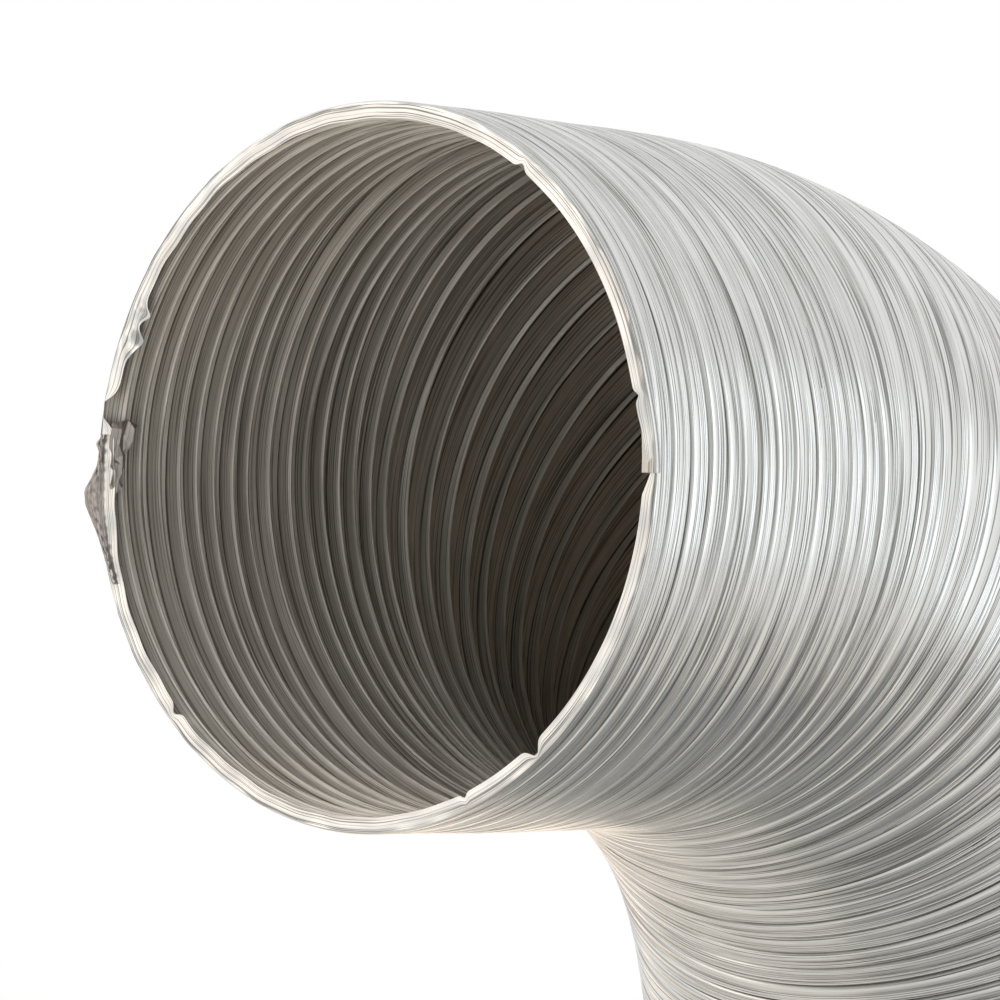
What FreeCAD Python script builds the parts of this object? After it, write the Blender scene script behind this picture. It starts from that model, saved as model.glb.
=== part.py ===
"""Semi-rigid flexible air duct, 125 mm nominal, standing as a ninety-degree elbow.

One thin aluminium strip is pressed into a pleat, wound round and round, and each turn is hooked
into the next by a lock seam. Every third seam is drawn as a hoop of its own, because a seam
stays stiff, and the pleats between two hoops are the part that stretches and bends.

Millimetres, +Z up. The origin is the centre of the lower end, on the floor. The leg rises along
+Z, the elbow turns towards -Y, and the mouth faces -Y.
"""
import FreeCAD, Part
import math
import os

Vector = FreeCAD.Vector
ORIGIN = Vector(0, 0, 0)
X_AXIS = Vector(1, 0, 0)
Z_AXIS = Vector(0, 0, 1)

# --- strip ---
strip_thickness = 0.15

# --- round section ---
bore_radius = 63.0          # a 125 mm spigot slides in with half a millimetre to spare
pleat_depth = 3.5           # from the bore to the outside of a pleat

# --- pleats ---
crest_width = 3.9           # flat top of a pleat
closed_gap = 1.1            # between two tops where pleats are pushed together: cuffs and stub
leg_gap = 2.1               # between two tops where they are drawn a little apart: the leg
land_width = 0.6            # flat bottom of a groove in the cuffs, where a spigot bears
fold_radius = 0.2           # bend of the strip at the edge of a crest or a land
groove_radius = 0.35        # round bottom of a groove that flexes

# --- lock seam ---
seam_width = 2.0            # across the folded layers
seam_clearance = 0.05       # between two layers
hook_length = 1.25          # of each strip edge, folded back under or over the other
hook_flat = 0.01            # between the two bends of a folded-back edge
run_gap = 0.3               # running gap between a run of pleats and the hoop that it flexes to

# --- layout along the centreline ---
cuff_pleats = 7             # grooves in each plain end
run_pleats = 3              # grooves from one hoop to the next
leg_runs = 10
elbow_runs = 10
mouth_runs = 2
elbow_radius = 152.5        # of the centreline
elbow_angle = 90.0          # degrees

# --- worked out from the sizes above ---
half_strip = strip_thickness / 2
half_crest = crest_width / 2
half_seam = seam_width / 2
crest_middle = bore_radius + pleat_depth - half_strip
land_middle = bore_radius + half_strip
closed_pitch = crest_width + closed_gap
leg_pitch = crest_width + leg_gap
layer_step = strip_thickness + seam_clearance
inner_layer = crest_middle - 3 * layer_step
cuff_length = cuff_pleats * closed_pitch + half_crest
leg_step = run_pleats * leg_pitch
mouth_step = run_pleats * closed_pitch
elbow_step = elbow_angle / elbow_runs
leg_height = cuff_length + leg_runs * leg_step
elbow_length = math.radians(elbow_angle) * elbow_radius

# Between the stiff lips of two hoops, an elbow run bends round a slightly smaller circle.
run_radius = elbow_radius - half_crest / math.tan(math.radians(elbow_step) / 2)
elbow_run_length = crest_width + math.radians(elbow_step) * run_radius


# ---------------------------------------------------------------- folded strip, in section
# A section lies in the XZ plane: x is the distance from the duct's axis, z runs along it.

def left_of(direction):
    """The normal on the left of a direction."""
    return Vector(-direction.z, 0, direction.x)


def heading(a, b):
    """The unit direction from a to b."""
    return (b - a) / (b - a).Length


def bend(before, corner, after, radius):
    """Where the strip's middle line leaves and rejoins its two straights, and the bend's centre."""
    arriving = heading(before, corner)
    leaving = heading(corner, after)
    setback = radius * math.tan(arriving.getAngle(leaving) / 2)
    turns_left = left_of(arriving).dot(leaving) > 0
    inward = left_of(arriving) * (1 if turns_left else -1)
    start = corner - arriving * setback
    return start, corner + leaving * setback, start + inward * radius, turns_left


def strip_side(line, offset):
    """One side of the strip: its middle line moved to the left by offset, as (point, point, ...).

    Each entry is the two ends of a straight, or the two ends and the middle of a bend.
    """
    corners = [corner for corner, _ in line]
    start = corners[0] + left_of(heading(corners[0], corners[1])) * offset
    pieces = []
    for i in range(1, len(line) - 1):
        corner, radius = line[i]
        a, b, centre, turns_left = bend(corners[i - 1], corner, corners[i + 1], radius)
        side_radius = radius - offset if turns_left else radius + offset
        on_side = [centre + heading(centre, p) * side_radius for p in (a, corner, b)]
        pieces.append((start, on_side[0]))
        pieces.append(tuple(on_side))
        start = on_side[2]
    end = corners[-1] + left_of(heading(corners[-2], corners[-1])) * offset
    pieces.append((start, end))
    return pieces


def edge_of(piece):
    """A straight or a bend as an edge."""
    if len(piece) == 2:
        return Part.makeLine(piece[0], piece[1])
    return Part.Arc(piece[0], piece[1], piece[2]).toShape()


def turned(line):
    """The folded strip turned all the way round the duct's axis."""
    left = strip_side(line, half_strip)
    right = strip_side(line, -half_strip)
    loop = left + [(left[-1][-1], right[-1][-1])]
    loop += [piece[::-1] for piece in reversed(right)] + [(right[0][0], left[0][0])]
    section = Part.Face(Part.Wire([edge_of(piece) for piece in loop]))
    return section.revolve(ORIGIN, Z_AXIS, 360)


def groove_corner(crest, half_gap):
    """Where the two flanks of a round groove would meet, so that its bottom lies at the bore."""
    drop = crest - land_middle - groove_radius
    slant = math.atan2(half_gap, drop)
    steeper = math.asin(groove_radius / math.hypot(half_gap, drop))
    return crest - half_gap / math.tan(slant - steeper)


def pleated_line(pitch, count, first_radius, has_lands):
    """The strip's middle line over count grooves, from one seam at z = 0 towards the next.

    It starts beside the seam at first_radius and ends on the flat top of the last pleat.
    """
    line = [(Vector(first_radius, 0, half_seam), 0)]
    crest = first_radius
    for i in range(count):
        middle = (i + 0.5) * pitch
        line.append((Vector(crest, 0, i * pitch + half_crest), fold_radius))
        if has_lands:
            line.append((Vector(land_middle, 0, middle - land_width / 2), fold_radius))
            line.append((Vector(land_middle, 0, middle + land_width / 2), fold_radius))
        else:
            corner = groove_corner(crest_middle, (pitch - crest_width) / 2)
            line.append((Vector(corner, 0, middle), groove_radius))
        line.append((Vector(crest_middle, 0, (i + 1) * pitch - half_crest), fold_radius))
        crest = crest_middle
    return line


# ---------------------------------------------------------------- lock seam

def hook(layer, back_layer, mouth):
    """One hooked strip edge: it crosses the seam on one layer and folds back on another.

    mouth is 1 where the fold is at the seam's upper end, and -1 at its lower end.
    """
    fold = mouth * (half_seam - half_strip)
    round_bend = (abs(layer - back_layer) - hook_flat) / 2
    tip = mouth * (half_seam - hook_length)
    return [
        (Vector(layer, 0, -mouth * half_seam), 0),
        (Vector(layer, 0, fold), round_bend),
        (Vector(back_layer, 0, fold), round_bend),
        (Vector(back_layer, 0, tip), 0),
    ]


def lock_seam():
    """A hoop of two strip edges hooked into each other, four layers deep, about z = 0."""
    over = hook(crest_middle, crest_middle - 2 * layer_step, 1)
    under = hook(inner_layer, inner_layer + 2 * layer_step, -1)
    return Part.makeCompound([turned(over), turned(under)])


# ---------------------------------------------------------------- pleats

def straight_run(pitch):
    """The pleats between two hoops of a straight length, up to the running gap."""
    line = pleated_line(pitch, run_pleats, inner_layer, False)
    end = Vector(crest_middle, 0, run_pleats * pitch - half_seam - run_gap)
    return turned(line + [(end, 0)])


def bent_circle(point):
    """The circle that a point of the section becomes in a run of the elbow."""
    rise = point.z
    angle = 0.0
    centre = Vector(0, 0, rise)
    if rise > half_crest:
        arc = min(rise - half_crest, elbow_run_length - crest_width)
        angle = arc / run_radius
        along = Vector(0, -math.sin(angle), math.cos(angle))
        to_axis = Vector(0, run_radius * (math.cos(angle) - 1), run_radius * math.sin(angle))
        centre = Vector(0, 0, half_crest) + to_axis + along * (rise - half_crest - arc)
    circle = Part.makeCircle(point.x)
    circle.Placement = FreeCAD.Placement(centre, FreeCAD.Rotation(X_AXIS, math.degrees(angle)))
    return Part.Wire(circle)


def bent_side(line, offset):
    """The circles of one side of a bent run, from its first end to its last."""
    pieces = strip_side(line, offset)
    points = [pieces[0][0]]
    for piece in pieces:
        points += piece[1:]
    return [bent_circle(point) for point in points]


def bent_run():
    """The pleats between two hoops of the elbow: open on the outside, closed on the inside."""
    line = pleated_line(elbow_run_length / run_pleats, run_pleats, inner_layer, False)
    end = Vector(crest_middle, 0, elbow_run_length - half_seam - run_gap)
    line.append((end, 0))
    left = bent_side(line, half_strip)
    right = bent_side(line, -half_strip)
    faces = Part.makeLoft(left, False, True).Faces + Part.makeLoft(right, False, True).Faces
    faces.append(Part.Face([left[0], right[0]], "Part::FaceMakerBullseye"))
    faces.append(Part.Face([left[-1], right[-1]], "Part::FaceMakerBullseye"))
    shell = Part.makeShell(faces)
    shell.sewShape()
    return Part.makeSolid(shell)


def cuff(seam_radius):
    """A plain end of closed pleats, from a seam at z = 0 to the flat cut rim."""
    line = pleated_line(closed_pitch, cuff_pleats, seam_radius, True)
    rim = cuff_length - half_strip
    line.append((Vector(crest_middle, 0, rim), fold_radius))
    line.append((Vector(bore_radius, 0, rim), 0))
    return turned(line)


# ---------------------------------------------------------------- assembly

def placed(shape, distance):
    """A shape moved from z = 0 to a distance along the duct's centreline."""
    moved = shape.copy()
    moved.translate(Vector(0, 0, min(distance, leg_height)))
    if distance > leg_height:
        past = min(distance - leg_height, elbow_length)
        angle = elbow_angle * past / elbow_length
        moved.rotate(Vector(0, -elbow_radius, leg_height), X_AXIS, angle)
        beyond = distance - leg_height - past
        radians = math.radians(angle)
        moved.translate(Vector(0, -math.sin(radians), math.cos(radians)) * beyond)
    return moved


os.makedirs("parts", exist_ok=True)
seam = lock_seam()
base = cuff(crest_middle).mirror(Vector(0, 0, cuff_length / 2), Z_AXIS)
base.exportStep("parts/base_cuff.step")
placed(seam, cuff_length).exportStep("parts/lock_seam_00.step")

stretches = [
    ("leg", leg_runs, leg_step, straight_run(leg_pitch)),
    ("elbow", elbow_runs, elbow_length / elbow_runs, bent_run()),
    ("mouth", mouth_runs, mouth_step, straight_run(closed_pitch)),
]
distance = cuff_length
seam_count = 0
for stretch, runs, step, pleats in stretches:
    for number in range(1, runs + 1):
        placed(pleats, distance).exportStep(f"parts/{stretch}_pleats_{number:02d}.step")
        distance += step
        seam_count += 1
        placed(seam, distance).exportStep(f"parts/lock_seam_{seam_count:02d}.step")

placed(cuff(inner_layer), distance).exportStep("parts/mouth_cuff.step")
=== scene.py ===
"""Semi-rigid flexible air duct, 125 mm nominal, wound from one pleated strip of aluminium.

The sections follow the duct as it is made: the line it is bent to, the wound strip and its metal,
the base cuff, the runs of pleats from hoop to hoop, the cut mouth with its rim and torn foil, and
then the floor and the lights. The camera comes after the line, because it aims at the mouth.
Names that end in _mm are in millimetres, and everything else is in metres.
"""
import bpy
import math
import numpy as np
from mathutils import Matrix, Vector


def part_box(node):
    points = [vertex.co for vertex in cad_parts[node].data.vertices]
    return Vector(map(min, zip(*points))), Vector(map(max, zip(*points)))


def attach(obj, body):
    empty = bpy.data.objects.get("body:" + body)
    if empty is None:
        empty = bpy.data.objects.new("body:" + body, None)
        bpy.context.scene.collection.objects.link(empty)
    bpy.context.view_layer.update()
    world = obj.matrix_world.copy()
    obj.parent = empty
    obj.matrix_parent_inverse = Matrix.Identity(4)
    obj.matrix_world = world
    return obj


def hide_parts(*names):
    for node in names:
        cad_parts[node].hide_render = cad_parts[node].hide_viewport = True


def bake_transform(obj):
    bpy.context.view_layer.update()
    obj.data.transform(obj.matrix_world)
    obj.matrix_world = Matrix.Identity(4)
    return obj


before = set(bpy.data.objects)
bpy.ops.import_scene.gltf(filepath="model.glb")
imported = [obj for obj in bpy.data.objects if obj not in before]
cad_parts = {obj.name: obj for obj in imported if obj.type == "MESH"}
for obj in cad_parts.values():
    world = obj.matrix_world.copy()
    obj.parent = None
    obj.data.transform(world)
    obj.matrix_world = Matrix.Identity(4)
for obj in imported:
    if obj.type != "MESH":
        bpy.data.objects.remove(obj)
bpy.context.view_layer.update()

MM = 0.001

# ---------------------------------------------------------------- the line the duct is bent to
# Up the leg, round the elbow towards -Y, and out along the stub. A distance along it is called s
# and starts at the floor. The outer side of the bend is +Y on the leg and +Z on the stub.
def middle_mm(node):
    """The middle of a CAD node's box, to a hundredth of a millimetre."""
    low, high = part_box(node)
    return [round((a + b) / 2 / MM, 2) for a, b in zip(low, high)]


elbow_angle = math.radians(90)
first_hoop_mm = middle_mm("lock_seam_00")[2]
leg_height_mm = middle_mm("lock_seam_10")[2]
elbow_radius_mm = -middle_mm("lock_seam_20")[1]
mouth_mm = -round(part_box("mouth_cuff")[0][1] / MM, 2)
elbow_length_mm = elbow_angle * elbow_radius_mm
elbow_end_mm = leg_height_mm + elbow_length_mm
duct_length_mm = elbow_end_mm + mouth_mm - elbow_radius_mm


def eased(x, start, end):
    """0 before start, 1 after end, and a smooth step between."""
    t = np.clip((x - start) / (end - start), 0, 1)
    return t * t * (3 - 2 * t)


def on_duct(s, r, side):
    """Points at s, r from the line, and side radians round from +X towards the outer side."""
    turned = np.clip((s - leg_height_mm) / elbow_radius_mm, 0, elbow_angle)
    beyond = s - leg_height_mm - turned * elbow_radius_mm
    outwards = elbow_radius_mm + r * np.sin(side)
    x = r * np.cos(side)
    y = outwards * np.cos(turned) - elbow_radius_mm - beyond * np.sin(turned)
    z = outwards * np.sin(turned) + leg_height_mm + beyond * np.cos(turned)
    return np.stack([x, y, z], axis=-1) * MM


def heading(s):
    """The direction of the line at s."""
    turned = min(max((s - leg_height_mm) / elbow_radius_mm, 0), elbow_angle)
    return Vector((0, -math.sin(turned), math.cos(turned)))


# ---------------------------------------------------------------- camera
# A long lens close to the height of the mouth, turned so that the leg leans to the right. The
# mouth and the upper half of the elbow fill the view.
camera_distance = 0.9839
mouth_left_of_view = 0.0249
mouth_above_view = 0.0060
mouth_middle = Vector(on_duct(duct_length_mm, 0.0, 0.0))
camera_right = Vector((0.759, 0.638, 0.129)).normalized()
camera_back = Vector((0.636, -0.769, 0.065))
camera_back = (camera_back - camera_right * camera_back.dot(camera_right)).normalized()
camera_up = camera_back.cross(camera_right)
camera_data = bpy.data.cameras.new("camera")
camera_data.lens = 196.6
camera_data.sensor_width = 36
camera_data.clip_start = 0.05
camera_data.clip_end = 50
camera = bpy.data.objects.new("camera", camera_data)
bpy.context.scene.collection.objects.link(camera)
camera.matrix_world = Matrix.Translation(
    mouth_middle + camera_right * mouth_left_of_view - camera_up * mouth_above_view
    + camera_back * camera_distance
) @ Matrix((camera_right, camera_up, camera_back)).transposed().to_4x4()
bpy.context.scene.camera = camera

# ---------------------------------------------------------------- the wound strip
# One strip of aluminium, pressed into a pleat and wound left-handed with a lead of one pleat a
# turn. Each turn is hooked into the next by a lock seam, rolled flat on top of the pleat. Pushed
# together the pleats are 5 mm apart. Round the elbow they fan out, and flatten as they open.
crest_radius_mm = 66.25         # of a pleat's top, before its dents
pleat_middle_mm = crest_radius_mm - 1.5
crest_half_mm = 2.12            # half the top's width where the pleats are closed
groove_half_mm = 0.38           # half the gap between two tops
least_top = 0.8                 # share of the pitch that a top takes at least
flank_mm = 2.7                  # from the top down to the fold, where the pleats are closed
fold_half_mm = 0.09             # half the width of the fold at the bottom of a groove
closed_half_mm = 2.6            # half a closed pleat's pitch, and what it gains when wide open
opening_mm = 2.9
least_flank_mm = 0.5            # how far a flank unrolls into the top at most
seam_flattens = 0.3             # share of their depth that these lose when wide open
shoulder_flattens = 0.55
shoulder_flattens_at_cut = 0.6
bend_eases_mm = 5               # before and after each end of the elbow
burr_side = math.radians(7)     # where the strip runs out at the mouth

# The section of a pleat's top as (place, depth), from the floor's side to the mouth's: the four
# folded edges of the lock seam, then the bare shoulder that rolls over into the next groove.
crest_section = [
    (-2.20, 0.45), (-2.13, 0.22), (-2.02, 0.06), (-1.84, 0.00),
    (-1.74, 0.01), (-1.64, 0.26), (-1.48, 0.02), (-1.20, 0.01), (-1.10, 0.24), (-0.96, 0.00),
    (-0.68, 0.00), (-0.58, 0.26), (-0.42, 0.02), (-0.14, 0.01), (-0.04, 0.19), (0.12, 0.00),
    (0.55, 0.00), (0.98, 0.04), (1.36, 0.13), (1.68, 0.27), (1.92, 0.45), (2.08, 0.68),
    (2.20, 1.00),
]
seam_edge = 0.12                # the place where the seam ends and the shoulder starts
fold_section = [(-1.0, 0.00), (-0.5, 0.04), (0.0, 0.05), (0.5, 0.04), (1.0, 0.00)]
flank_parts = [0.34, 0.70]
crest_start, edge_mm = crest_section[0]
crest_end, shoulder_mm = crest_section[-1]
fold_start = len(crest_section) + len(flank_parts)
rows_per_pleat = fold_start + len(fold_section) + len(flank_parts)

# Where each row of the section lies on the flat strip, for the grain of the metal.
crest_place = np.array(crest_section)[:, 0]
crest_length_mm = 2 * crest_half_mm + 0.4
developed_mm = np.concatenate([
    (crest_place + crest_half_mm) * crest_length_mm / (2 * crest_half_mm),
    crest_length_mm + np.array(flank_parts) * flank_mm,
    crest_length_mm + flank_mm + (1 + np.array(fold_section)[:, 0]) * fold_half_mm,
    crest_length_mm + 2 * fold_half_mm + (1 + np.array(flank_parts)) * flank_mm,
    [crest_length_mm + 2 * (flank_mm + fold_half_mm)],
])

# How far apart the turns lie, and from that the number of turns wound at each place. The turns
# are never quite even, two of them have sprung open, and both cut ends are squeezed nearly square.
closed_pitch_mm = 5.0
leg_opening_mm = 1.0
elbow_opening_mm = 1.98
squeezed = 0.74
squeezed_mm = 3.2
cuff_eases_mm = (22, 44)        # from the floor, where the base cuff goes over into the leg
stub_eases_mm = (62, 106)       # from the mouth, where the stub goes over into the elbow
spread_from_mm = (40, 420)      # where the odd part of a turn is taken up
cut_turn = 0.46                 # how far past a pleat's middle each end is cut, in turns
spare_mm = 40                   # of line worked out past each end
along_mm = np.linspace(-spare_mm, duct_length_mm + spare_mm, 22401)
from_mouth_mm = duct_length_mm - along_mm
pitch_mm = closed_pitch_mm + leg_opening_mm * eased(along_mm, *cuff_eases_mm)
pitch_mm += elbow_opening_mm * eased(along_mm, leg_height_mm - 8, leg_height_mm + 14)
pitch_mm -= (leg_opening_mm + elbow_opening_mm) * (1 - eased(from_mouth_mm, *stub_eases_mm))
for sprung_mm, spread_mm, extra_mm in [(44, 4.0, 1.5), (92, 5.0, 0.9)]:
    pitch_mm += extra_mm * np.exp(-((from_mouth_mm - sprung_mm) / spread_mm) ** 2)
for wave_mm, part, shift in [
        (61, 0.020, 0.4), (37, 0.022, 2.1), (19.3, 0.030, 4.4), (11.7, 0.035, 1.3)]:
    pitch_mm *= 1 + part * np.sin(2 * math.pi * along_mm / wave_mm + shift)
pitch_mm *= (1 - squeezed * eased(-from_mouth_mm, -squeezed_mm, 0)
             - squeezed * eased(-along_mm, -squeezed_mm, 0))
turns = np.concatenate([[0], np.cumsum(np.diff(along_mm) / pitch_mm[:-1])])
turns -= np.interp(0, along_mm, turns) + cut_turn

# The odd part of a turn is spread over the length, for both ends to be cut at the same place.
wound = np.interp(duct_length_mm, along_mm, turns) - 1 - cut_turn
last_pleat = round(wound)
turns += (last_pleat - wound) * eased(along_mm, *spread_from_mm)


def place_of(turn):
    return np.interp(turn, turns, along_mm)


def turn_of(s):
    return float(np.interp(s, along_mm, turns))


def uneven(side, turn, waves):
    """A sum of waves, each as its height in mm, count round the duct, shift a turn, and start."""
    return sum(height * np.sin(count * side + shift * turn + start)
               for height, count, shift, start in waves)


def strip_points(first_row, last_row, round_strip):
    """Points of the strip: one line across it for each row, at round_strip turns past its start."""
    pleats = np.arange(first_row // rows_per_pleat, last_row // rows_per_pleat + 1)[:, None]
    side = burr_side - 2 * math.pi * round_strip

    def stretch(s):
        """How much longer the side of the bend is than its middle."""
        bent = (eased(s, leg_height_mm - bend_eases_mm, leg_height_mm + bend_eases_mm)
                - eased(s, elbow_end_mm - bend_eases_mm, elbow_end_mm + bend_eases_mm))
        return 1 + bent * pleat_middle_mm * np.sin(side) / elbow_radius_mm

    def opened(turn):
        """Where a crest or a fold lies, its stretch, half pitch, and how open it is, 0 to 1."""
        middle = place_of(turn)
        longer = stretch(middle)
        half = longer * (place_of(turn + 0.5) - place_of(turn - 0.5)) / 2
        return middle, longer, half, np.clip((half - closed_half_mm) / opening_mm, 0, 1)

    def crest_at(turn):
        """A crest's middle, its half width along the line, and how open it is."""
        middle, longer, half, share = opened(turn)
        return middle, np.maximum(half - groove_half_mm, least_top * half) / longer, share

    crest, crest_half, crest_share = crest_at(pleats + round_strip)
    after, after_half, after_share = crest_at(pleats + 1 + round_strip)
    fold, longer, half, share = opened(pleats + 0.5 + round_strip)
    fold_half = fold_half_mm * (1 + share) / longer
    run = ((after - after_half) - (crest + crest_half)) * longer / 2 - fold_half * longer
    # What the top of the pleat gains in width as it opens, the flanks lose.
    flank = np.clip(flank_mm + crest_half_mm - crest_half * longer, least_flank_mm, flank_mm)
    bottom = edge_mm * (1 - seam_flattens * share)
    bottom = bottom + np.sqrt(np.maximum(flank ** 2 - run ** 2, 0.10))
    turn = pleats + round_strip
    bottom += 0.08 * np.sin(5.3 * turn + 1.0) * np.sin(2 * side + pleats + round_strip)
    near_cut = eased(fold, duct_length_mm - 7, duct_length_mm - 3) + 1 - eased(fold, 3, 7)
    roll = (1 - shoulder_flattens * crest_share) * (1 - shoulder_flattens_at_cut * near_cut)
    next_flat = 1 - seam_flattens * after_share

    # The seam keeps its width, and the shoulder beside it takes up the rest.
    scale = np.minimum(crest_half_mm / longer, crest_half) / crest_end
    seam_end = (seam_edge - crest_start) * scale
    rows = []
    for place, depth in crest_section:
        if place <= seam_edge:
            across = (place - crest_start) * scale
            flat = 1 - seam_flattens * crest_share
        else:
            part = (place - seam_edge) / (crest_end - seam_edge)
            across = seam_end + (2 * crest_half - seam_end) * part
            flat = roll
        rows.append((crest - crest_half + across, depth * flat))
    for t in flank_parts:
        start, end = crest + crest_half, fold - fold_half
        low = shoulder_mm * roll
        rows.append((start + (end - start) * t, low + (bottom - low) * t))
    for place, depth in fold_section:
        rows.append((fold + place * fold_half, bottom + depth * (1 + 3 * share)))
    for t in flank_parts:
        start, end = fold + fold_half, after - after_half
        rows.append((start + (end - start) * t, bottom + (edge_mm * next_flat - bottom) * t))
    skipped = first_row - pleats[0, 0] * rows_per_pleat
    wanted = slice(skipped, skipped + last_row - first_row + 1)
    place, depth = (
        np.stack(values, axis=1).reshape(-1, len(round_strip))[wanted] for values in zip(*rows))

    # The turns wander a little along the line between the two ends, and the tube is out of round.
    turn = np.arange(first_row, last_row + 1)[:, None] / rows_per_pleat + round_strip
    wobble = uneven(side, turn, [(0.13, 2, 1.9, 0), (0.08, 3, -2.7, 1), (0.05, 7, 4.1, 0)])
    inside = eased(place, 1, 12) * (1 - eased(place, duct_length_mm - 12, duct_length_mm - 1))
    dent = uneven(side, turn, [(0.10, 2, 0.31, 0), (0.07, 5, -0.83, 2)])
    return on_duct(place + wobble * inside, crest_radius_mm - depth + dent, side + 0 * place)


def vectors(vertices, key):
    """A value of each vertex, as rows of x, y and z."""
    values = np.empty(len(vertices) * 3)
    vertices.foreach_get(key, values)
    return values.reshape(-1, 3)


def corner_vertices(mesh):
    """The vertex at each face corner."""
    corner = np.empty(len(mesh.loops), int)
    mesh.loops.foreach_get("vertex_index", corner)
    return corner


def add_grid(name, columns, rows):
    """A flat grid of faces, with each point's place on it as two shares from 0 to 1."""
    bpy.ops.object.select_all(action="DESELECT")
    bpy.ops.mesh.primitive_grid_add(x_subdivisions=columns, y_subdivisions=rows, size=1)
    piece = bpy.context.object
    piece.name = piece.data.name = name
    piece.data.uv_layers[0].name = "strip"
    first, second = (vectors(piece.data.vertices, "co")[:, :2] + 0.5).T
    return piece, first, second


def wind_strip(name, first_row, last_row, columns=144, wear=None):
    """A length of strip as a grid, wound, pleated and joined along the seams."""
    count = last_row - first_row
    piece, around, along = add_grid(name, columns, count)
    mesh = piece.data
    column = np.round(around * columns).astype(int)
    row = np.round(along * count).astype(int)
    round_strip = 1 - np.arange(columns + 1) / columns
    points = strip_points(first_row, last_row, round_strip)
    if wear:
        wear(points, round_strip)
    mesh.vertices.foreach_set("co", points[row, column].ravel())

    corner = corner_vertices(mesh)
    starts = np.empty(len(mesh.polygons), int)
    mesh.polygons.foreach_get("loop_start", starts)
    corner_row = row[corner] + first_row
    face_row = np.minimum.reduceat(corner_row, starts)
    face_row = np.repeat(face_row, np.diff(np.append(starts, len(corner))))
    pleat = face_row // rows_per_pleat
    around = pleat + 1 - column[corner] / columns
    across_mm = developed_mm[corner_row - pleat * rows_per_pleat]
    strip_map = np.stack([around * 2 * math.pi * crest_radius_mm, across_mm], axis=-1) * MM
    mesh.uv_layers[0].data.foreach_set("uv", strip_map.ravel())

    bpy.ops.object.mode_set(mode="EDIT")
    bpy.ops.mesh.select_all(action="SELECT")
    bpy.ops.mesh.remove_doubles(threshold=0.004 * MM)
    bpy.ops.mesh.faces_shade_smooth()
    bpy.ops.object.mode_set(mode="OBJECT")
    # Which way the surface faces is noted, for the two sides of a cut to shade alike.
    lie = mesh.attributes.new("lie", "FLOAT_VECTOR", "POINT")
    lie.data.foreach_set("vector", vectors(mesh.vertices, "normal").ravel())
    return piece


def cut_square(piece, s, keep_after):
    """Cuts the wound strip square across the duct at s and drops one side."""
    bpy.ops.object.mode_set(mode="EDIT")
    bpy.ops.mesh.select_all(action="SELECT")
    bpy.ops.mesh.bisect(plane_co=on_duct(s, 0.0, 0.0), plane_no=heading(s),
                        clear_inner=keep_after, clear_outer=not keep_after)
    bpy.ops.object.mode_set(mode="OBJECT")


# ---------------------------------------------------------------- rolled aluminium
# Soft aluminium strip, bright from the rolls: a satin mirror with fine rolling lines along the
# strip, duller patches where it was handled, and a blur across the lines.
def linear(hex_colour):
    """An sRGB hex colour as linear values."""
    parts = [int(hex_colour[i:i + 2], 16) / 255 for i in (1, 3, 5)]
    return [p / 12.92 if p <= 0.04045 else ((p + 0.055) / 1.055) ** 2.4 for p in parts] + [1]


def add_node(tree, kind, settings, **inputs):
    """A node with its settings, its constants, and its links from other nodes' sockets.

    An input is named as its socket is, with _ for a space, or as i and the socket's number.
    """
    node = tree.nodes.new(kind)
    for key, value in settings.items():
        setattr(node, key, value)
    for key, value in inputs.items():
        numbered = key[0] == "i" and key[1:].isdigit()
        socket = node.inputs[int(key[1:]) if numbered else key.replace("_", " ")]
        if isinstance(value, bpy.types.NodeSocket):
            tree.links.new(value, socket)
        else:
            socket.default_value = value
    return node


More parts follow.
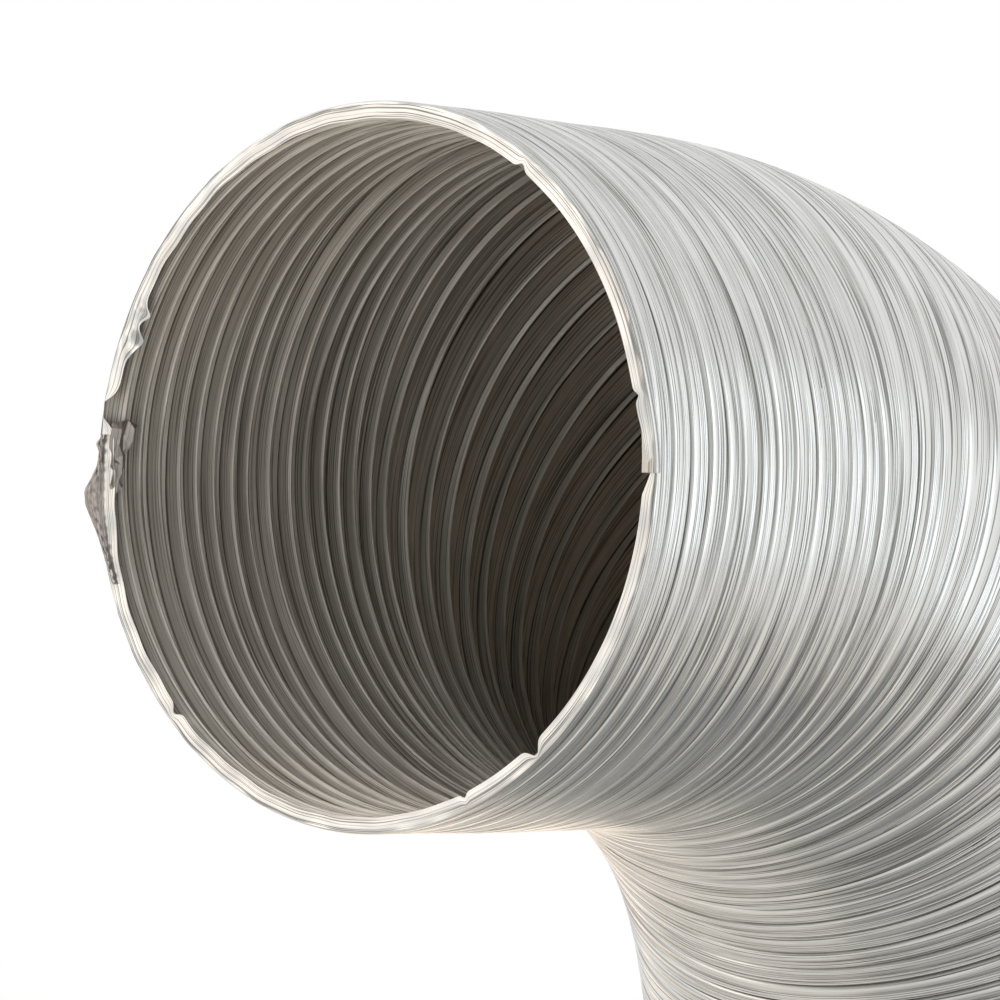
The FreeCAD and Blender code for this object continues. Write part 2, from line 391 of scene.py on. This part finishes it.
def rolled_aluminium(name, colour, dull_colour, line_colour, roughness, painted_shade_mm=0.0):
    material = bpy.data.materials.new(name)
    material.use_nodes = True
    tree = material.node_tree
    tree.nodes.clear()
    strip = add_node(tree, "ShaderNodeUVMap", {"uv_map": "strip"}).outputs["UV"]
    # Rolling lines 0.25 mm apart across the strip, and some 60 mm long.
    lines_at = add_node(tree, "ShaderNodeMapping", {}, Vector=strip, Scale=(16, 4000, 1))
    lines = add_node(tree, "ShaderNodeTexNoise", {}, Vector=lines_at.outputs[0],
                     Scale=1.0, Detail=3.0, Roughness=0.6).outputs[0]
    # Handling marks, some 17 mm long and 4 mm wide.
    marks_at = add_node(tree, "ShaderNodeMapping", {}, Vector=strip, Scale=(60, 260, 1))
    marks = add_node(tree, "ShaderNodeTexNoise", {}, Vector=marks_at.outputs[0],
                     Scale=1.0, Detail=4.0, Roughness=0.55).outputs[0]
    both = add_node(tree, "ShaderNodeMath", {"operation": "MULTIPLY_ADD"},
                    i0=lines, i1=0.55, i2=marks).outputs[0]
    tone = add_node(tree, "ShaderNodeMapRange", {}, Value=both, From_Min=0.45, From_Max=1.05)
    toned = add_node(tree, "ShaderNodeMix", {"data_type": "RGBA"}, Factor=tone.outputs[0],
                     i6=linear(dull_colour), i7=linear(colour)).outputs[2]
    # Dark drawing lines, about one in three of the rolling lines.
    drawn = add_node(tree, "ShaderNodeMapRange", {}, Value=lines, From_Min=0.40, From_Max=0.49)
    toned = add_node(tree, "ShaderNodeMix", {"data_type": "RGBA"}, Factor=drawn.outputs[0],
                     i6=linear(line_colour), i7=toned).outputs[2]
    if painted_shade_mm:
        # Painted shade: dark lines in the two corners where the flanks meet the seam, for the
        # shadow down in each fold.
        across = add_node(tree, "ShaderNodeSeparateXYZ", {}, Vector=strip).outputs["Y"]
        for corner_mm in (0.2, crest_length_mm):
            off = add_node(tree, "ShaderNodeMath", {"operation": "SUBTRACT"},
                           i0=across, i1=corner_mm * MM)
            off = add_node(tree, "ShaderNodeMath", {"operation": "ABSOLUTE"}, i0=off.outputs[0])
            unshaded = add_node(tree, "ShaderNodeMapRange", {}, Value=off.outputs[0],
                             From_Min=0.4 * painted_shade_mm * MM, From_Max=painted_shade_mm * MM)
            toned = add_node(tree, "ShaderNodeMix", {"data_type": "RGBA"}, Factor=unshaded.outputs[0],
                             i6=linear("#2C2722"), i7=toned).outputs[2]
    rough = add_node(tree, "ShaderNodeMapRange", {}, Value=both, From_Min=0.45, From_Max=1.05,
                     To_Min=roughness + 0.07, To_Max=roughness - 0.04)
    bump = add_node(tree, "ShaderNodeBump", {}, Strength=0.45, Distance=0.00006, Height=lines)
    tangent = add_node(tree, "ShaderNodeTangent", {"direction_type": "UV_MAP", "uv_map": "strip"})
    # The tangent runs along the strip, and a quarter turn lays the blur across the lines.
    metal = add_node(tree, "ShaderNodeBsdfPrincipled", {}, Metallic=1.0,
                     Anisotropic=0.5, Anisotropic_Rotation=0.25,
                     Base_Color=toned, Roughness=rough.outputs[0],
                     Normal=bump.outputs[0], Tangent=tangent.outputs[0])
    add_node(tree, "ShaderNodeOutputMaterial", {}, Surface=metal.outputs[0])
    return material


# The outside is bright from the polished rolls. The inside is matt and a little warmer, with
# shade painted as dark lines in the corners of its folds.
bright_side = rolled_aluminium("aluminium_bright_side", "#E6E7E5", "#D2D1CE", "#7E7D79", 0.31)
matt_side = rolled_aluminium(
    "aluminium_matt_side", "#EBE7E0", "#D0CAC0", "#9A938A", 0.56, painted_shade_mm=0.35)

# ---------------------------------------------------------------- base cuff
# The lower end: the cut edge on which the duct stands, then seven closed pleats up to the first
# stiff hoop, where the strip is cut square.
strip_mm = 0.17                 # the bare strip is 0.15
# The strip starts at the end of the fold below the first top, which is the cut edge.
cut_edge_row = -rows_per_pleat + fold_start + len(fold_section) - 1


def row_before(s):
    """A pleat's first row, far enough back for the strip to cover the duct all round at s."""
    return math.floor(turn_of(s) - 1.6) * rows_per_pleat


def row_after(s):
    """The same past s."""
    return math.ceil(turn_of(s) + 0.6) * rows_per_pleat


def add_wall(piece, offset):
    """The strip's real thickness, with the next material slot on its inner side."""
    wall = piece.modifiers.new("wall", "SOLIDIFY")
    wall.thickness = strip_mm * MM
    wall.offset = offset
    wall.material_offset = 1
    bpy.ops.object.modifier_apply(modifier="wall")


def finish_strip(piece):
    """The metal, and the thickness laid inwards, both sides shaded as the whole strip lies."""
    piece.data.materials.append(bright_side)
    piece.data.materials.append(matt_side)
    add_wall(piece, -1)
    mesh = piece.data
    lie = vectors(mesh.attributes["lie"].data, "vector")
    lie *= np.sign((lie * vectors(mesh.vertices, "normal")).sum(axis=1, keepdims=True) + 1e-9)
    mesh.attributes.remove(mesh.attributes["lie"])
    mesh.normals_split_custom_set_from_vertices(lie)


base_end = wind_strip("base_end", cut_edge_row, row_after(first_hoop_mm))
cut_square(base_end, first_hoop_mm, False)
finish_strip(base_end)
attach(base_end, "base")
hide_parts("base_cuff", "lock_seam_00")

# ---------------------------------------------------------------- runs of pleats
# Between one stiff hoop and the next lie three pleats or so, which stretch, close or fan out
# together. Each run is cut from the wound strip square across the duct at its two hoops.
leg_run_mm = 18.0
mouth_run_mm = 15.0
stretches = [("leg", 10, leg_run_mm), ("elbow", 10, elbow_length_mm / 10),
             ("mouth", 2, mouth_run_mm)]
bodies = ["base"] + [f"hoop_{k:02d}" for k in range(1, 23)]


def distance_along(points_mm, stretch_name):
    """How far along the line the points of a run lie."""
    x, y, z = points_mm.T
    if stretch_name == "leg":
        return z
    if stretch_name == "elbow":
        return leg_height_mm + elbow_radius_mm * np.arctan2(z - leg_height_mm, y + elbow_radius_mm)
    return elbow_end_mm - elbow_radius_mm - y


start_mm = first_hoop_mm
joint_number = 0
for stretch_name, runs, step_mm in stretches:
    for number in range(1, runs + 1):
        end_mm = start_mm + step_mm
        run = wind_strip(
            f"{stretch_name}_run_{number:02d}", row_before(start_mm), row_after(end_mm))
        cut_square(run, start_mm, True)
        cut_square(run, end_mm, False)
        finish_strip(run)
        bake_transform(run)
        # How far along the line each point of the run lies.
        s = distance_along(vectors(run.data.vertices, "co") / MM, stretch_name)
        joint_number += 1
        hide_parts(f"{stretch_name}_pleats_{number:02d}", f"lock_seam_{joint_number:02d}")
        start_mm = end_mm

# ---------------------------------------------------------------- cut mouth
# The other plain end: closed pleats like the base cuff's, from the last stiff hoop up to the
# last turn of the strip.
mouth_end = wind_strip("mouth_end", row_before(start_mm), last_pleat * rows_per_pleat)
cut_square(mouth_end, start_mm, True)
finish_strip(mouth_end)
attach(mouth_end, bodies[-1])
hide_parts("mouth_cuff")

# ---------------------------------------------------------------- cut rim
# The last turn of the strip. The snips left its last flank standing as a flat bright ring, torn
# through at one side, nicked where the blades met, and ending in a point where the strip runs out.
# Places round the rim are in degrees: 0 at +X, 90 at the top. A nick has a place, width and depth.
rim_nicks = [(19, 0.7, 0.35), (64, 0.9, 0.4), (233, 1.0, 0.5), (317, 1.3, 0.8), (301, 0.6, 0.3)]
tear_side = 178.5
pushed_side = 193
pushed_mm = 1.2
tab_sides = (166, 160.5)
tab_mm = 1.9
end_pressed_mm = 1.45


def near(side, middle, width):
    """1 in the middle of a damaged place, falling to 0 round it, in degrees."""
    away = (side - middle + 180) % 360 - 180
    return np.exp(-(away / width) ** 2)


def wear_rim(points, round_strip):
    side = math.degrees(burr_side) - 360 * round_strip
    radial = np.stack([np.cos(np.radians(side)), 0 * side, np.sin(np.radians(side))], axis=-1) * MM
    forward = np.array([0, -1, 0]) * MM
    # How much of the ring is gone: tapered where the strip starts and ends, torn, and nicked.
    from_end = 360 * (1 - round_strip)
    gone = 0.45 * np.clip(1 - from_end / 9, 0, 1)
    gone = np.maximum(gone, 0.55 * np.clip(1 - 360 * round_strip / 3.5, 0, 1))
    gone = np.maximum(gone, near(side, tear_side, 2.3) * 1.4)
    for middle, width, depth in rim_nicks:
        gone = np.maximum(gone, depth * near(side, middle, width))
    gone = np.clip(gone, 0, 1)[:, None]
    # Its end is pressed back level with the turn before it.
    pressed = np.clip(1 - from_end / 16, 0, 1)
    points -= (end_pressed_mm * pressed * pressed * (3 - 2 * pressed))[:, None] * forward
    root = points[-4].copy()
    for row in (-3, -2, -1):
        points[row] = root + (points[row] - root) * (1 - gone)
    # Pushed in behind the torn flap, rippled all round, and creased in from the tab above.
    pushed = pushed_mm * np.clip(near(side, pushed_side, 9) * 1.2, 0, 1)
    ripple = 0.12 * np.sin(np.radians(side * 17)) + 0.10 * np.sin(np.radians(side * 41 + 20))
    points[-4:] += ((ripple * 0.5 - pushed)[:, None] * radial) + ripple[:, None] * forward * 0.8
    tab = near(side, tab_sides[0], 2.2) + 0.8 * near(side, tab_sides[1], 1.6)
    crease = np.sin(np.radians(side * 90))
    points[-1] += (-(tab_mm * tab)[:, None] * radial
                   - (tab * (0.7 + 0.6 * crease))[:, None] * forward)
    points[-2] += -(0.8 * tab)[:, None] * radial + (tab * 0.5 * crease)[:, None] * forward


cut_row = last_pleat * rows_per_pleat
cut_rim = wind_strip("cut_rim", cut_row, cut_row + fold_start, columns=960, wear=wear_rim)
finish_strip(cut_rim)
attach(cut_rim, bodies[-1])

# ---------------------------------------------------------------- torn foil
# Where the snips slipped, the strip's edge is torn out into a flap behind the ring, and what was
# crushed between the blades is folded over inside it. Handling has stained both a dull grey.
stained_foil = rolled_aluminium("aluminium_stained_foil", "#D6CFC9", "#A79E98", "#8A807A", 0.42)
foil_size_mm = np.array([30, 6])
flap_side, flap_degrees, flap_stands_mm = 182.5, 25, 1.9
crush_side, crush_degrees = 180, 12
crush_columns, crush_rows = 8, 3


def foil_patch(name, count_along, count_across, lay, smooth):
    """A small piece of foil as a grid: lay gives its points for part along and part across."""
    foil, along, across = add_grid(name, count_along, count_across)
    mesh = foil.data
    place, r, side = lay(along, across)
    mesh.vertices.foreach_set("co", on_duct(place, r, np.radians(side)).ravel())
    corner = corner_vertices(mesh)
    foil_map = np.stack([along[corner], across[corner]], axis=-1) * foil_size_mm * MM
    mesh.uv_layers[0].data.foreach_set("uv", foil_map.ravel())
    if smooth:
        bpy.ops.object.mode_set(mode="EDIT")
        bpy.ops.mesh.select_all(action="SELECT")
        bpy.ops.mesh.faces_shade_smooth()
        bpy.ops.object.mode_set(mode="OBJECT")
    foil.data.materials.append(stained_foil)
    foil.data.materials.append(stained_foil)
    add_wall(foil, 0)
    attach(foil, bodies[-1])


def lay_flap(along, across):
    """From the ring's outer edge outwards, furthest a third of the way down."""
    side = flap_side + flap_degrees * along
    out = np.interp(along, [0, 0.06, 0.12, 0.2, 0.38, 0.45, 0.7, 1],
                    [0, 0.5, 0.25, 0.35, 1, 0.95, 0.45, 0])
    wide = across * np.minimum(1, out + 0.1)
    crushed = 0.30 * np.sin(61 * along + 9 * across) + 0.22 * np.sin(37 * along - 14 * across + 1)
    crushed = crushed * np.sin(math.pi * across)
    r = 65.1 + (1.0 + 1.5 * out) * wide + crushed
    return duct_length_mm - 0.1 + flap_stands_mm * out * wide - 0.7 * crushed, r, side


def lay_crush(along, across):
    """From the ring's inner edge back over the first folds, in sharp creases."""
    side = crush_side + crush_degrees * along
    column, row = np.round(along * crush_columns), np.round(across * crush_rows)
    step = np.sin(7.1 * column + 3.3 * row)
    other = np.sin(9.0 * column + 2.2 * row + 1)
    deep = across * (5.5 - 3.2 * along + 0.7 * other)
    r = 62.9 - 0.5 * across + 0.55 * step
    return duct_length_mm - 0.3 - deep + 0.4 * other, r, side + 0.5 * other


foil_patch("torn_flap", 60, 8, lay_flap, True)
foil_patch("crushed_edge", crush_columns, crush_rows, lay_crush, False)

# ---------------------------------------------------------------- floor and lights
# A pale paper floor that fades into the white surround, a white tent of soft light with two soft
# boxes, grey flags and a warm panel for the metal to reflect, and dark sheets on the floor as
# painted shadow that only the metal sees.
bpy.ops.object.select_all(action="DESELECT")
bpy.ops.mesh.primitive_circle_add(
    vertices=96, radius=2.2, fill_type="NGON", location=(0, -0.1, -0.0002))
floor = bpy.context.object
floor.name = "floor"
floor_material = bpy.data.materials.new("floor_white_paper")
floor_material.use_nodes = True
tree = floor_material.node_tree
tree.nodes.clear()
place = add_node(tree, "ShaderNodeTexCoord", {}).outputs["Object"]
away = add_node(tree, "ShaderNodeVectorMath", {"operation": "LENGTH"}, i0=place).outputs["Value"]
fade = add_node(tree, "ShaderNodeMapRange", {"interpolation_type": "SMOOTHSTEP"},
                Value=away, From_Min=0.5, From_Max=1.6)
paper = add_node(
    tree, "ShaderNodeBsdfPrincipled", {}, Base_Color=linear("#F0EBE4"), Roughness=0.9)
white = add_node(tree, "ShaderNodeEmission", {}, Color=linear("#FFFFFF"), Strength=1.0)
faded = add_node(tree, "ShaderNodeMixShader", {},
                 i0=fade.outputs[0], i1=paper.outputs[0], i2=white.outputs[0])
add_node(tree, "ShaderNodeOutputMaterial", {}, Surface=faded.outputs[0])
floor.data.materials.append(floor_material)

world = bpy.data.worlds.new("white_tent")
bpy.context.scene.world = world
world.use_nodes = True
tree = world.node_tree
tree.nodes.clear()
ray = add_node(tree, "ShaderNodeLightPath", {}).outputs
seen = ray["Is Camera Ray"]
for other_ray in (ray["Is Glossy Ray"], ray["Is Transmission Ray"]):
    seen = add_node(
        tree, "ShaderNodeMath", {"operation": "MAXIMUM"}, i0=seen, i1=other_ray).outputs[0]
tent = add_node(tree, "ShaderNodeBackground", {}, Color=linear("#FFFFFF"), Strength=0.95)
bright = add_node(tree, "ShaderNodeBackground", {}, Color=linear("#FFFFFF"), Strength=1.0)
mixed = add_node(
    tree, "ShaderNodeMixShader", {}, i0=seen, i1=tent.outputs[0], i2=bright.outputs[0])
add_node(tree, "ShaderNodeOutputWorld", {}, Surface=mixed.outputs[0])


def soft_box(name, size, power, place, towards, colour):
    light = bpy.data.lights.new(name, "AREA")
    light.shape = "RECTANGLE"
    light.size, light.size_y = size
    light.energy = power
    light.color = linear(colour)[:3]
    lamp = bpy.data.objects.new(name, light)
    bpy.context.scene.collection.objects.link(lamp)
    lamp.location = place
    lamp.rotation_euler = (Vector(towards) - Vector(place)).to_track_quat("-Z", "Y").to_euler()


soft_box("key_light", (0.7, 1.2), 2.45, (-0.98, -1.38, 0.75), mouth_middle, "#FFE9D2")
soft_box("side_light", (1.0, 1.3), 3.75, (1.45, 0.05, 0.68), mouth_middle, "#ECF7FF")


def flag(name, colour, width, height, place, towards):
    """A card as stands beside any shiny thing in a studio, or a dark sheet on the floor as painted
    shadow. Only the metal sees it.
    """
    cloth = bpy.data.materials.new(name + "_cloth")
    cloth.use_nodes = True
    shader = cloth.node_tree.nodes["Principled BSDF"]
    shader.inputs["Base Color"].default_value = linear(colour)
    shader.inputs["Roughness"].default_value = 0.9
    bpy.ops.object.select_all(action="DESELECT")
    turned = (Vector(towards) - Vector(place)).to_track_quat("Z", "Y").to_euler()
    bpy.ops.mesh.primitive_plane_add(size=1, location=place, rotation=turned)
    card = bpy.context.object
    card.name = name
    card.scale = (width, height, 1)
    card.data.materials.append(cloth)
    card.visible_camera = card.visible_diffuse = card.visible_shadow = False


flag("grey_flag", "#C0C1BF", 3.4, 1.5, (0.63, -1.58, 0.75), (0, -0.22, 0.75))
# Painted shadow: dark sheets on the floor right of the leg and behind it, where the duct's shadow
# falls, seen only in the metal.
flag("painted_floor_shadow", "#686A6C", 0.50, 0.60, (0.33, 0.46, 0.001), (0.33, 0.46, 1))
flag("near_painted_floor_shadow", "#949595", 0.30, 0.23, (0.23, 0.04, 0.001), (0.23, 0.04, 1))
flag("front_painted_floor_shadow", "#A8A8A7", 0.33, 0.23, (0.205, -0.195, 0.001), (0.205, -0.195, 1))

# A warm panel on the floor behind the bend, and a glow through the open lower end.
soft_box("floor_panel", (0.6, 0.6), 1.45, (-0.47, 0.45, 0.01), (-0.47, 0.45, 1), "#FFE2C6")
soft_box("lower_end_light", (0.08, 0.08), 0.07, (0, 0, 0.004), (0, 0, 1), "#FFE6CC")

bpy.context.scene.view_settings.view_transform = "Standard"
